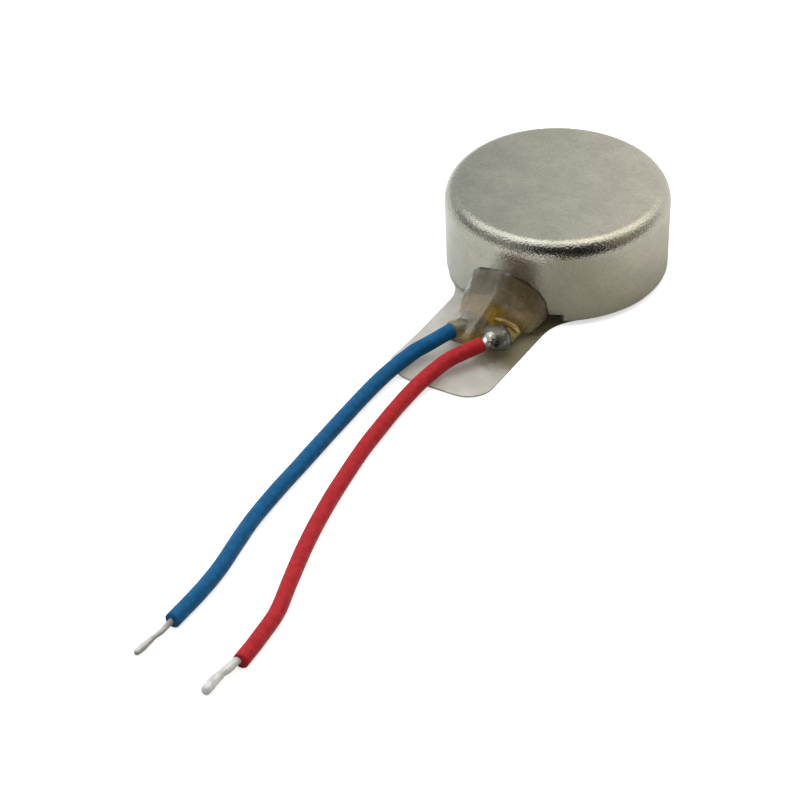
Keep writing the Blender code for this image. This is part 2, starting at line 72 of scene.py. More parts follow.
# Sizes and places that the CAD model gives, in millimetres
CUP_LOW, CUP_HIGH = cad_box("case_cup")
CUP_RADIUS = CUP_HIGH.x
CUP_TOP = CUP_HIGH.z
CUP_BASE = CUP_LOW.z
FLEX_TOP = cad_box("flex_circuit")[1].z
LINER_LOW, LINER_HIGH = cad_box("release_liner")
BALL_CENTRE = cad_centre("solder_joint_red")
INNER_JOINT_CENTRE = cad_centre("solder_joint_blue")

# The cup, in millimetres, with the cut-out in its wall between two angles from +X
CUP_EDGE_REACH = 0.52
CUP_EDGE_DROP = 0.66
CUP_DRAFT = 0.06
CUP_WALL = 0.2
CUP_LID = 0.25
CUP_LIP = 0.04
CUP_COLUMNS = 288
EDGE_BREAK = 0.018
WINDOW_TOP = 0.48
WINDOW_ANGLES = (245, 301)

# The liner's pull tab, in millimetres, with the fillets on its left and right next to the disc.
# Its left corner lifts beyond the rise's x and y, and its whole end a little beyond the other y
TAB_HALF_WIDTH = 1.93
TAB_CORNER = 0.95
TAB_OFFSET = -0.25
TAB_FILLETS = (1.4, 2.0)
TAB_LIFT = 0.16
TAB_RISE_X = -0.9
TAB_RISE_Y = -6.2
TAB_END_LIFT = 0.03
TAB_END_RISE_Y = -7.6

# The leads, in millimetres, from the solder to where the insulation ends
LEAD_RADIUS = 0.275
WIRE_RADIUS = 0.11
WIRE_START_Y = -24.4
WIRE_DROOP = 0.065
LYING_Z = 0.28
RED_ROUTE = [
    (0.56, -6.59, 0.72),
    (0.12, -7.26, 0.60),
    (-0.19, -7.90, 0.50),
    (-0.43, -9.22, 0.37),
    (-0.45, -10.87, 0.30),
    (-0.32, -12.92, LYING_Z),
    (-0.05, -14.94, LYING_Z),
    (0.33, -17.07, LYING_Z),
    (0.77, -18.92, LYING_Z),
    (1.21, -20.45, LYING_Z),
    (1.65, -21.98, LYING_Z),
    (1.81, -23.27, LYING_Z),
    (1.90, -24.54, LYING_Z),
]
BLUE_ROUTE = [
    (-0.70, -6.35, 0.77),
    (-1.14, -7.31, 0.62),
    (-1.43, -7.89, 0.50),
    (-1.70, -9.19, 0.37),
    (-1.78, -10.81, 0.30),
    (-1.75, -12.84, LYING_Z),
    (-1.69, -14.87, LYING_Z),
    (-1.63, -16.78, LYING_Z),
    (-1.53, -18.28, LYING_Z),
    (-1.35, -19.52, LYING_Z),
    (-1.13, -20.94, LYING_Z),
    (-1.04, -22.33, LYING_Z),
    (-1.04, -23.89, LYING_Z),
]
RED_END_ROUTE = [
    (1.84, -24.40, 0.29),
    (1.79, -24.63, 0.29),
    (1.72, -25.01, 0.25),
    (1.65, -25.31, 0.22),
    (1.61, -25.70, 0.20),
    (1.62, -26.15, 0.18),
]
BLUE_END_ROUTE = [
    (-1.06, -23.75, 0.29),
    (-1.06, -23.99, 0.28),
    (-1.09, -24.44, 0.22),
    (-1.19, -24.81, 0.17),
    (-1.24, -25.18, 0.15),
    (-1.29, -25.56, 0.12),
]

# How thick each bare end is, as its distance along and its radius, both in shares
RED_END_WIDTHS = [
    (0, 1.25),
    (0.15, 1.25),
    (0.35, 1.4),
    (0.5, 1.2),
    (0.65, 1.4),
    (0.85, 1.55),
    (1, 1.5),
]
BLUE_END_WIDTHS = [
    (0, 0.9),
    (0.2, 0.9),
    (0.4, 0.85),
    (0.55, 0.72),
    (0.7, 0.95),
    (0.88, 1.12),
    (1, 1.05),
]

# The crust that lies along the resin's foot
CRUST_ROUTE = [
    (0.26, -5.02, 0.72),
    (0.4, -4.99, 0.7),
    (0.62, -4.92, 0.66),
    (0.86, -4.9, 0.59),
    (1.04, -4.93, 0.5),
    (1.16, -5.0, 0.42),
]
CRUST_RADIUS = 0.075
CRUST_LENGTH = 1.1

# How finely the resin and the solder are melted together, and how often they are smoothed
RESIN_VOXEL, RESIN_SMOOTHING = 0.04, 10
SOLDER_VOXEL, SOLDER_SMOOTHING = 0.03, 5

# Sections through the resin that face -Y: each one's y, then its skyline as (x, z) from left
# to right
RESIN_SECTIONS = [
    (-3.3, [(-1.66, 0.6), (-1.56, 1.1), (-1.36, 1.56), (-1.0, 1.88), (-0.55, 2.07), (-0.1, 2.15),
            (0.4, 2.12), (0.99, 1.84), (1.33, 1.52), (1.54, 1.13), (1.6, 0.7)]),
    (-3.85, [(-1.6, 0.55), (-1.5, 1.0), (-1.3, 1.48), (-1.0, 1.82), (-0.55, 2.03), (-0.1, 2.12),
             (0.35, 2.1), (0.9, 1.82), (1.26, 1.46), (1.5, 1.0), (1.56, 0.6)]),
    (-4.05, [(-1.5, 0.6), (-1.42, 0.95), (-1.22, 1.34), (-0.9, 1.66), (-0.5, 1.88), (-0.08, 2.02),
             (0.34, 1.92), (0.82, 1.64), (1.22, 1.26), (1.48, 0.84), (1.54, 0.5)]),
    (-4.3, [(-1.48, 0.6), (-1.4, 0.9), (-1.16, 1.14), (-0.83, 1.38), (-0.42, 1.6), (-0.04, 1.78),
            (0.34, 1.6), (0.8, 1.34), (1.2, 1.02), (1.46, 0.72), (1.52, 0.45)]),
    (-4.6, [(-1.38, 0.55), (-1.32, 0.8), (-1.06, 0.98), (-0.73, 1.16), (-0.35, 1.34), (0, 1.5),
            (0.34, 1.3), (0.78, 1.1), (1.14, 0.88), (1.4, 0.66), (1.48, 0.42)]),
    (-4.82, [(-1.32, 0.5), (-1.25, 0.74), (-1, 0.92), (-0.67, 1.1), (-0.3, 1.28), (0.01, 1.44),
             (0.26, 1.16), (0.66, 0.94), (1.02, 0.8), (1.3, 0.62), (1.42, 0.4)]),
    (-4.95, [(-1.28, 0.48), (-1.21, 0.7), (-0.96, 0.88), (-0.63, 1.06), (-0.28, 1.22), (0.01, 1.38),
             (0.12, 1.2), (0.2, 0.98), (0.25, 0.8), (0.28, 0.6), (0.3, 0.4)]),
    (-5.35, [(-1.18, 0.46), (-1.1, 0.62), (-0.88, 0.8), (-0.58, 0.96), (-0.27, 1.1), (-0.01, 1.24),
             (0.1, 1.08), (0.17, 0.9), (0.21, 0.74), (0.23, 0.58), (0.24, 0.4)]),
    (-5.9, [(-1.12, 0.44), (-1.04, 0.6), (-0.82, 0.78), (-0.55, 0.9), (-0.27, 0.98), (-0.03, 1.04),
            (0.07, 0.92), (0.13, 0.78), (0.16, 0.66), (0.18, 0.54), (0.19, 0.4)]),
    (-6.25, [(-1, 0.42), (-0.93, 0.52), (-0.74, 0.64), (-0.51, 0.72), (-0.26, 0.8), (-0.04, 0.87),
             (0.05, 0.78), (0.1, 0.68), (0.13, 0.58), (0.15, 0.48), (0.15, 0.38)]),
    (-6.45, [(-0.78, 0.38), (-0.71, 0.44), (-0.56, 0.52), (-0.39, 0.58), (-0.2, 0.64),
             (-0.06, 0.68), (0.01, 0.62), (0.05, 0.55), (0.07, 0.48), (0.08, 0.42), (0.08, 0.36)]),
]

# Soft boxes and walls of the studio: azimuth, elevation, inner and outer angle, colour
LIGHTS = [
    (30, 78, 12, 32, (1.15, 1.15, 1.12)),
    (210, 22, 48, 86, (0.9, 0.9, 0.88)),
    (130, 60, 8, 34, (1.0, 0.97, 0.86)),
    (290, 60, 8, 34, (1.5, 1.5, 1.5)),
    (322, 24, 8, 46, (0.5, 0.5, 0.5)),
    (112, 24, 5, 48, (0.35, 0.34, 0.3)),
]
ROOM_GLOW = (0.02, 0.02, 0.02)

# Most of a noise lies between these two values
NOISE_LOW, NOISE_HIGH = 0.3, 0.7

STATOR = "stator"

# CAD nodes that keep their shape: the finish's name, colour, roughness and metallic value, and
# the nodes that take it
PLAIN_FINISHES = [
    # The base plate's steel is painted dark, as painted shade inside the window in the wall.
    ("shaded_plate_steel", (0.16, 0.155, 0.13), 0.4, 1.0, ["base_plate"]),
    ("tinned_copper", (0.8, 0.74, 0.62), 0.3, 1.0, ["pad_red", "pad_blue"]),
    ("adhesive", (0.75, 0.74, 0.7), 0.6, 0.0, ["adhesive_pad"]),
    ("pin_steel", (0.55, 0.55, 0.56), 0.2, 1.0, ["shaft"]),
    ("magnet", (0.16, 0.16, 0.17), 0.45, 0.8, ["ring_magnet"]),
    ("brush_alloy", (0.78, 0.6, 0.35), 0.25, 1.0, ["brush_positive", "brush_negative"]),
    ("washer_film", (0.07, 0.07, 0.08), 0.5, 0.0, ["lower_washer", "upper_washer"]),
    ("circuit_board", (0.05, 0.24, 0.12), 0.45, 0.0, ["rotor_board"]),
    (
        "gold_on_copper",
        (0.83, 0.6, 0.25),
        0.22,
        1.0,
        [f"commutator_segment_{i}" for i in range(1, 7)],
    ),
    ("sintered_bronze", (0.45, 0.3, 0.16), 0.55, 1.0, ["rotor_bush"]),
    ("tungsten_alloy", (0.33, 0.33, 0.34), 0.4, 1.0, ["counterweight"]),
    ("rotor_resin", (0.03, 0.03, 0.035), 0.5, 0.0, ["rotor_resin"]),
]


# ---------------------------------------------------------------- camera, light and floor


def link(made):
    bpy.context.scene.collection.objects.link(made)


def add_camera():
    """A long lens, turned by a heading about Z, tipped down and rolled a little."""
    right = Vector((1, 0, 0))
    forward = Vector((0, math.cos(VIEW_ELEVATION), -math.sin(VIEW_ELEVATION)))
    up = right.cross(forward)
    across = right * math.cos(VIEW_ROLL) + up * math.sin(VIEW_ROLL)
    upward = up * math.cos(VIEW_ROLL) - right * math.sin(VIEW_ROLL)
    turn = Matrix.Rotation(VIEW_HEADING, 3, "Z")
    axes = Matrix([turn @ across, turn @ upward, turn @ -forward]).transposed()
    data = bpy.data.cameras.new("camera")
    data.lens = LENS
    data.clip_start = 1 * MM
    data.clip_end = 10
    camera = bpy.data.objects.new("camera", data)
    camera.matrix_world = Matrix.Translation(CAMERA_PLACE * MM) @ axes.to_4x4()
    link(camera)
    bpy.context.scene.camera = camera


def direction(azimuth, elevation):
    """A unit vector. Azimuth 0 points at -Y, where the leads are, and turns towards +X."""
    a, e = math.radians(azimuth), math.radians(elevation)
    return Vector((math.sin(a) * math.cos(e), -math.cos(a) * math.cos(e), math.sin(e)))


class Nodes:
    """Short calls for the nodes of one material or world. Where a length in millimetres goes in,
    it is turned into the metres of the coordinates."""

    def __init__(self, tree):
        self.tree = tree

    def add(self, kind, **settings):
        made = self.tree.nodes.new("ShaderNode" + kind)
        for key, value in settings.items():
            setattr(made, key, value)
        return made

    def put(self, socket, value):
        """The socket gets a link from another socket, or a constant."""
        if isinstance(value, bpy.types.NodeSocket):
            self.tree.links.new(value, socket)
        elif hasattr(value, "__len__") and len(value) == 3 and len(socket.default_value) == 4:
            socket.default_value = (*value, 1)
        else:
            socket.default_value = value

    def give(self, shader, settings):
        for name, value in settings.items():
            self.put(shader.inputs[name], value)

    def coordinates(self, output="Object"):
        return self.add("TexCoord").outputs[output]

    def place(self):
        """The x, y and z of the place that is shaded."""
        made = self.add("SeparateXYZ")
        self.put(made.inputs[0], self.coordinates())
        return made.outputs[0], made.outputs[1], made.outputs[2]

    def math(self, operation, first, second=0.0):
        made = self.add("Math", operation=operation)
        self.put(made.inputs[0], first)
        self.put(made.inputs[1], second)
        return made.outputs[0]

    def vector(self, operation, first, second=(0, 0, 0)):
        made = self.add("VectorMath", operation=operation)
        self.put(made.inputs[0], first)
        self.put(made.inputs[1], second)
        scalar = operation in ("DOT_PRODUCT", "DISTANCE", "LENGTH")
        return made.outputs["Value" if scalar else "Vector"]

    def range(self, value, low, high, to_low=0.0, to_high=1.0, smooth=True):
        made = self.add("MapRange", interpolation_type="SMOOTHSTEP" if smooth else "LINEAR")
        names = ("Value", "From Min", "From Max", "To Min", "To Max")
        self.give(made, dict(zip(names, (value, low, high, to_low, to_high))))
        return made.outputs["Result"]

    def fade(self, length, start, end, first=0.0, last=1.0):
        """From the first value to the last one, between two lengths in millimetres."""
        return self.range(length, start * MM, end * MM, first, last)

    def mix(self, factor, first, second, blend="MIX"):
        made = self.add("Mix", data_type="RGBA", blend_type=blend)
        self.put(made.inputs[0], factor)
        self.put(made.inputs[6], first)
        self.put(made.inputs[7], second)
        return made.outputs[2]

    def times(self, colour, factor):
        return self.mix(1.0, colour, factor, "MULTIPLY")

    def distance(self, point):
        """How far the shaded place is from a point in millimetres."""
        return self.vector("DISTANCE", self.coordinates(), [c * MM for c in point])

    def from_axis(self):
        """How far the shaded place is from the case's axis."""
        return self.vector("LENGTH", self.vector("MULTIPLY", self.coordinates(), (1, 1, 0)))

    def noise(self, size, detail=3.0, roughness=0.5, stretch=(1, 1, 1)):
        """Noise whose features are about this size, in millimetres."""
        mapping = self.add("Mapping")
        self.put(mapping.inputs["Vector"], self.coordinates())
        mapping.inputs["Scale"].default_value = [1 / (size * MM * s) for s in stretch]
        made = self.add("TexNoise")
        settings = {"Scale": 1, "Detail": detail, "Roughness": roughness}
        self.give(made, {"Vector": mapping.outputs[0], **settings})
        return made.outputs["Fac"]

    def varied(self, low, high, size, detail=3.0, roughness=0.5, stretch=(1, 1, 1)):
        """A value that the noise moves between these two."""
        drift = self.noise(size, detail, roughness, stretch)
        return self.range(drift, NOISE_LOW, NOISE_HIGH, low, high)

    def patch(self, centre, near, far, most, ragged, *grain):
        """A patch round a centre, with the most of it up to the near distance and none from the
        far one. Noise of this grain moves its outline in and out."""
        wander = self.varied(-ragged * MM, ragged * MM, *grain)
        return self.fade(self.math("ADD", self.distance(centre), wander), near, far, most, 0)

    def bump(self, height, depth, normal=None):
        """A bump of this depth in millimetres for a height of one."""
        made = self.add("Bump")
        self.give(made, {"Strength": 1, "Distance": depth * MM, "Height": height})
        if normal:
            self.put(made.inputs["Normal"], normal)
        return made.outputs["Normal"]


def add_world():
    """A dark room with a soft box overhead, and pale walls on the side away from the camera."""
    world = bpy.data.worlds.new("studio")
    bpy.context.scene.world = world
    world.use_nodes = True
    nodes = Nodes(world.node_tree)
    background = world.node_tree.nodes["Background"]
    way = nodes.coordinates("Generated")
    glow = ROOM_GLOW
    for azimuth, elevation, inner, outer, colour in LIGHTS:
        toward = nodes.vector("DOT_PRODUCT", way, direction(azimuth, elevation))
        edge, core = (math.cos(math.radians(angle)) for angle in (outer, inner))
        glow = nodes.mix(nodes.range(toward, edge, core), glow, colour, "ADD")
    nodes.give(background, {"Color": glow, "Strength": 1.0})


def add_floor():
    """A white sheet that glows a little where it is looked at, so that the shadows on it stay
    pale. In reflections it is painted darker towards the front right and again far out in front,
    as painted shade. It is darker too for light that bounces off it."""
    white, bounced = (0.9, 0.9, 0.9), (0.35, 0.34, 0.31)
    reflected_shade_colour, far_out = (0.56, 0.55, 0.5), (0.08, 0.075, 0.06)
    seen_glow, left_glow = 0.62, 0.45
    drop, half_width = 0.005, 1500
    shape = bmesh.new()
    bmesh.ops.create_grid(shape, x_segments=1, y_segments=1, size=half_width * MM)
    mesh = mesh_of(shape)
    floor = bpy.data.objects.new("floor", mesh)
    floor.location.z = (LINER_LOW.z - drop) * MM
    link(floor)
    material, nodes, surface = new_material("floor", white, 0.8)
    rays = nodes.add("LightPath").outputs
    seen = nodes.math("MAXIMUM", rays["Is Camera Ray"], rays["Is Transmission Ray"])
    mirrored = rays["Is Glossy Ray"]
    rightward = nodes.vector("DOT_PRODUCT", nodes.coordinates(), TO_RIGHT)
    frontward = nodes.vector("DOT_PRODUCT", nodes.coordinates(), TO_FRONT)
    # Painted shade in reflections, towards the front right.
    reflected_shade_share = nodes.fade(rightward, -5, 0)
    fading = nodes.fade(rightward, 2, 7, 1, 0.15)
    dark = nodes.math("MULTIPLY", mirrored, nodes.math("MULTIPLY", reflected_shade_share, fading))
    far = nodes.math("MULTIPLY", nodes.fade(frontward, 10, 17), reflected_shade_share)
    beside_reflected_shade = nodes.range(reflected_shade_share, 0, 1, left_glow, 0, False)
    sheet = nodes.mix(rays["Is Diffuse Ray"], white, bounced)
    sheet = nodes.mix(dark, sheet, reflected_shade_colour)
    glow = nodes.math(
        "ADD",
        nodes.math("MULTIPLY", seen, seen_glow),
        nodes.math("MULTIPLY", mirrored, beside_reflected_shade),
    )
    settings = {
        "Base Color": nodes.mix(nodes.math("MULTIPLY", mirrored, far), sheet, far_out),
        "Specular IOR Level": 0.2,
        "Emission Color": (1, 1, 1),
        "Emission Strength": glow,
    }
    nodes.give(surface, settings)
    mesh.materials.append(material)


# ---------------------------------------------------------------- materials


def new_material(name, colour, roughness, metallic=0.0):
    """The material, its nodes, and its Principled shader."""
    made = bpy.data.materials.new(name)
    made.use_nodes = True
    surface = made.node_tree.nodes["Principled BSDF"]
    nodes = Nodes(made.node_tree)
    nodes.give(surface, {"Base Color": colour, "Roughness": roughness, "Metallic": metallic})
    return made, nodes, surface


def satin_nickel():
    """Plated steel: a fine grain that sparkles most on the rounded edge, soft smudges, painted
    light that makes one side lighter and warmer than the other, and a faint painted reddish
    reflection on the wall above the resin."""
    made, nodes, surface = new_material("satin_nickel", (0.4, 0.38, 0.33), 0.24, 1.0)
    # The two sides' colours are painted light and shade, and the reddish colour is a painted
    # reflection.
    shaded_side_colour, lit_side_colour, reflected_red = (0.27, 0.275, 0.235), (0.51, 0.49, 0.41), (0.3, 0.22, 0.19)
    reflection_place, toward_lit_side = (0.4, -3.96, 2.45), (0.88, 0.47, 0)
    grain_size, grain_depth, off_edge = 0.08, 0.019, 0.5
    _, _, height = nodes.place()
    # Painted light: the share of the lit side's colour grows across the case.
    lit_side_reach = nodes.vector("DOT_PRODUCT", nodes.coordinates(), toward_lit_side)
    lit_side_share = nodes.range(lit_side_reach, -CUP_RADIUS * MM, CUP_RADIUS * MM, smooth=False)
    # A faint reddish painted reflection on the wall above the resin.
    painted_reflection = nodes.fade(nodes.distance(reflection_place), 0.1, 0.9, 0.35, 0)
    tone_with_painted_light = nodes.mix(painted_reflection, nodes.mix(lit_side_share, shaded_side_colour, lit_side_colour), reflected_red)
    grain = nodes.noise(grain_size, 1.5)
    speck = nodes.range(grain, NOISE_LOW, NOISE_HIGH, 0.93, 1.06)
    cloud = nodes.varied(0.93, 1.07, 1.1, 4, 0.6)
    duller = nodes.fade(height, 2.5, 2.9, 0.1, 0)
    outer = nodes.fade(nodes.from_axis(), 3.35, 3.6)
    on_edge = nodes.math("MULTIPLY", outer, nodes.fade(height, 2.4, 2.75))
    drawn = nodes.math("MULTIPLY", grain, nodes.range(on_edge, 0, 1, off_edge, 1, False))
    waves = nodes.bump(nodes.noise(0.7, 2, 0.4), 0.006)
    settings = {
        "Base Color": nodes.times(tone_with_painted_light, nodes.math("MULTIPLY", cloud, speck)),
        "Roughness": nodes.math("ADD", duller, nodes.varied(0.17, 0.25, 0.9, 4, 0.6)),
        "Normal": nodes.bump(drawn, grain_depth, waves),
    }
    nodes.give(surface, settings)
    return made


def clear_resin():
    """Cured glue: glossy, streaked and faintly rippled. It is painted paler on its left facet and
    browner on its right as painted light and shade, amber over the circuit's tail, cloudy at the
    lower left, and dark with painted shade along the wall."""
    made, nodes, surface = new_material("clear_resin", (0.56, 0.51, 0.34), 0.06)
    lit_facet_pale, shaded_facet_brown, amber = (0.62, 0.59, 0.44), (0.5, 0.42, 0.26), (0.9, 0.66, 0.08)
    milky, rim_shade = (0.76, 0.7, 0.64), (0.1, 0.09, 0.045)
    absorbed, density = (0.66, 0.56, 0.3), 700
    tail_place, cloudy_place = (0.06, -5.05, 0.8), (-0.8, -5.35, 0.75)
    x, _, _ = nodes.place()
    # Painted light and shade: paler on the left facet, browner on the right.
    tone = nodes.mix(nodes.fade(x, -0.3, 0.4), lit_facet_pale, shaded_facet_brown)
    tone = nodes.mix(nodes.patch(tail_place, 0.2, 0.6, 1, 0.12, 0.4), tone, amber)
    tone = nodes.mix(nodes.patch(cloudy_place, 0.15, 0.55, 0.8, 0.12, 0.4), tone, milky)
    tone = nodes.times(tone, nodes.varied(0.84, 1.08, 0.13, 3, 0.6, stretch=(1, 6, 6)))
    rim = nodes.fade(nodes.from_axis(), CUP_RADIUS - 0.01, CUP_RADIUS + 0.07, 1, 0)
    settings = {
        "Base Color": nodes.mix(rim, tone, rim_shade),
        "Roughness": nodes.varied(0.12, 0.22, 0.5),
        "Transmission Weight": 0.8,
        "IOR": 1.48,
        "Coat Weight": 0.2,
        "Coat Roughness": 0.04,
        "Normal": nodes.bump(nodes.noise(0.3), 0.03),
    }
    nodes.give(surface, settings)
    absorption = nodes.add("VolumeAbsorption")
    nodes.give(absorption, {"Color": absorbed, "Density": density})
    output = made.node_tree.nodes["Material Output"]
    nodes.put(output.inputs["Volume"], absorption.outputs[0])
    return made


def insulation(name, dark, light):
    """Soft plastic: a satin skin with a fine grain, uneven in colour and painted darker underneath
    as shade.
    """
    made, nodes, surface = new_material(name, dark, 0.5)
    _, _, height = nodes.place()
    tone = nodes.range(nodes.noise(0.2, 5, 0.75), 0.35, 0.65)
    skin = nodes.mix(tone, dark, light)
    waves = nodes.bump(nodes.noise(0.45, 2), 0.03)
    # The base colour is darkened towards the bottom as painted shade underneath.
    settings = {
        "Base Color": nodes.times(skin, nodes.fade(height, 0.02, 0.3, 0.55, 1)),
        "Roughness": nodes.varied(0.45, 0.62, 0.3),
        "Specular IOR Level": 0.14,
        "Normal": nodes.bump(nodes.noise(0.09, 3, 0.6), 0.012, waves),
    }
    nodes.give(surface, settings)
    return made


def solder():
    """Dull, oxidised solder, bare where the red lead goes in and painted bright there as a
    highlight, next to a pit painted dark as shade.
    """
    made, nodes, surface = new_material("solder", (0.5, 0.5, 0.46), 0.35, 1.0)
    bare, oxidised = (0.74, 0.73, 0.69), (0.14, 0.138, 0.112)
    pit_shade = (0.03, 0.035, 0.025)
    # The bare patch is bare solder and also a painted highlight; the pit's dark colour is painted
    # shade.
    bare_highlight_place = BALL_CENTRE + Vector((-0.06, -0.45, 0.2))
    pit_place = BALL_CENTRE + Vector((0.12, -0.36, 0.08))
    cloud = nodes.range(nodes.noise(0.3, 4, 0.65), 0.25, 0.5, 0.6, 1)
    film = nodes.math("MULTIPLY", cloud, nodes.fade(nodes.distance(bare_highlight_place), 0.14, 0.3))
    pit = nodes.fade(nodes.distance(pit_place), 0.09, 0.19, 1, 0)
    settings = {
        "Base Color": nodes.mix(pit, nodes.mix(film, bare, oxidised), pit_shade),
        "Roughness": nodes.range(film, 0, 1, 0.15, 0.5, False),
        "Normal": nodes.bump(nodes.noise(0.1, 4, 0.6), 0.03),
    }
    nodes.give(surface, settings)
    return made


def tinned_wire():
    """Tin that has gone matt, with painted shade underneath, and darker next to the insulation."""
    made, nodes, surface = new_material("tinned_wire", (0.6, 0.6, 0.6), 0.5, 0.2)
    light, grey, under_shade_and_root_dark = (0.76, 0.75, 0.76), (0.6, 0.59, 0.6), (0.2, 0.19, 0.16)
    _, along, height = nodes.place()
    film = nodes.range(nodes.noise(0.3, 3, 0.6), 0.35, 0.65)
    past_start = nodes.math("ADD", along, -WIRE_START_Y * MM)
    droop = nodes.math("MULTIPLY", past_start, WIRE_DROOP)
    # Painted shade on the wire's underside, below its drooping middle line.
    painted_under_shade = nodes.fade(nodes.math("SUBTRACT", height, droop), 0.2, 0.35, 0.85, 0)
    root = nodes.fade(along, WIRE_START_Y - 0.2, WIRE_START_Y + 0.3, 0, 0.7)
    # The painted shade and the darker part next to the insulation take the same dark colour.
    under_shade_and_dark_root = nodes.math("MAXIMUM", painted_under_shade, root)
    settings = {
        "Base Color": nodes.mix(under_shade_and_dark_root, nodes.mix(film, light, grey), under_shade_and_root_dark),
        "Roughness": nodes.range(film, 0, 1, 0.4, 0.55, False),
        "Normal": nodes.bump(nodes.noise(0.25), 0.01),
    }
    nodes.give(surface, settings)
    return made


def flux_stain(nodes, centre, near, far, most):
    """How much brown flux lies here."""
    return nodes.patch(centre, near, far, most, 0.25, 0.7, 4, 0.6)


def polyimide():
    """Amber film over copper: the two tracks run down the tail to their lands, and flux stains
    its end."""
    made, nodes, surface = new_material("polyimide", (0.5, 0.3, 0.05), 0.25)
    amber, yellow, copper = (0.62, 0.4, 0.05), (0.85, 0.62, 0.1), (0.9, 0.6, 0.16)
    flux = (0.13, 0.105, 0.035)
    track_offset = 0.62
    x, _, _ = nodes.place()
    tone = nodes.range(nodes.noise(0.6, 4, 0.6), 0.35, 0.65)
    from_track = nodes.math("SUBTRACT", nodes.math("ABSOLUTE", x), track_offset * MM)
    track = nodes.fade(nodes.math("ABSOLUTE", from_track), 0.3, 0.36, 1, 0)
    tail = nodes.mix(track, nodes.mix(tone, amber, yellow), copper)
    stain = flux_stain(nodes, BALL_CENTRE + Vector((0.35, 0.3, -0.4)), 0.75, 1.15, 0.9)
    settings = {
        "Base Color": nodes.mix(stain, tail, flux),
        "Coat Weight": 0.5,
        "Normal": nodes.bump(track, 0.01),
    }
    nodes.give(surface, settings)
    return made


def liner_film():
    """A translucent film, stained brown by flux below the solder ball, and beside the cut-out
    darkened by a brown stain together with painted shadow from the case's edge.
    """
    made, nodes, surface = new_material("liner_film", (0.8, 0.78, 0.74), 0.35)
    grey, white = (0.64, 0.62, 0.56), (0.77, 0.76, 0.72)
    # The darker colour beside the cut-out is a stain and painted shadow at once.
    drip_shade, stain_and_shadow_colour = (0.27, 0.23, 0.11), (0.12, 0.105, 0.045)
    drip_place, stain_and_shadow_place = BALL_CENTRE + Vector((0.35, 0.6, -0.7)), (1.7, -3.7, 0)
    clean = nodes.mix(nodes.varied(0, 1, 1.2, 4, 0.6), grey, white)
    stained = nodes.mix(flux_stain(nodes, drip_place, 0.8, 1.8, 0.85), clean, drip_shade)
    # Beside the cut-out, under the case's edge: a brown stain that is also painted shadow.
    stain_and_shadow = flux_stain(nodes, stain_and_shadow_place, 0.5, 1.1, 0.97)
    settings = {
        "Base Color": nodes.mix(stain_and_shadow, stained, stain_and_shadow_colour),
        "Transmission Weight": 0.45,
        "IOR": 1.45,
        "Normal": nodes.bump(nodes.noise(1.5, 2), 0.03),
    }
    nodes.give(surface, settings)
    return made


def wound_copper(name, node):
    """Enamelled wire wound round the coil's own middle, its turns standing out as fine ridges with
    painted shade in the grooves between them.
    """
    made, nodes, surface = new_material(name, (0.62, 0.24, 0.09), 0.3, 1.0)
    groove_shade, ridge = (0.4, 0.12, 0.04), (0.75, 0.33, 0.13)
    wire_spacing = 0.05
    low, high = cad_box(node)
    where = nodes.vector("SUBTRACT", nodes.coordinates("Generated"), (0.5, 0.5, 0))
    flat = nodes.vector("MULTIPLY", where, (high.x - low.x, high.y - low.y, 0))
    phase = nodes.math("MULTIPLY", nodes.vector("LENGTH", flat), 2 * math.pi / wire_spacing)
    # Painted shade: darker in the grooves between the turns.
    tone = nodes.range(nodes.math("SINE", phase), -1, 1)
    settings = {
        "Base Color": nodes.mix(tone, groove_shade, ridge),
        "Roughness": nodes.varied(0.25, 0.42, 0.4),
        "Normal": nodes.bump(tone, 0.012),
    }
    nodes.give(surface, settings)
    return made


def plain(name, colour, roughness, metallic=0.0, size=0.3, spread=0.15, depth=0.004):
    """A finish that varies a little in tone and roughness, with a fine bump."""
    made, nodes, surface = new_material(name, colour, roughness, metallic)
    tone = nodes.varied(0, 1, size, 4, 0.6)
    dark = [c * (1 - spread) for c in colour]
    light = [min(1, c * (1 + spread)) for c in colour]
    settings = {
        "Base Color": nodes.mix(tone, dark, light),
        "Roughness": nodes.range(tone, 0, 1, roughness * 0.85, roughness * 1.15),
        "Normal": nodes.bump(nodes.noise(size / 4), depth),
    }
    nodes.give(surface, settings)
    return made


# ---------------------------------------------------------------- making pieces


def as_piece(name, mesh, material, stands_for=(), sharp=40):
    """A mesh in millimetres becomes a smooth-shaded piece in metres that rides on the stator."""
    mesh.transform(Matrix.Scale(MM, 4))
    mesh.shade_smooth()
    mesh.set_sharp_from_angle(angle=math.radians(sharp))
    mesh.materials.clear()
    mesh.materials.append(material)
    made = bpy.data.objects.new(name, mesh)
    link(made)
    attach(made, STATOR)
    if stands_for:
        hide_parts(*stands_for)


def mesh_of(shape):
    """A mesh from a bmesh, which is freed."""
    mesh = bpy.data.meshes.new("shape")
    shape.to_mesh(mesh)
    shape.free()
    return mesh


def mesh_from(vertices, faces, weld=0.0):
    """A mesh whose faces look outwards. Vertices closer than the weld distance become one."""
    mesh = bpy.data.meshes.new("shape")
    mesh.from_pydata(vertices, [], faces)
    shape = bmesh.new()
    shape.from_mesh(mesh)
    bmesh.ops.recalc_face_normals(shape, faces=shape.faces)
    if weld:
        bmesh.ops.remove_doubles(shape, verts=shape.verts, dist=weld)
    shape.to_mesh(mesh)
    shape.free()
    return mesh


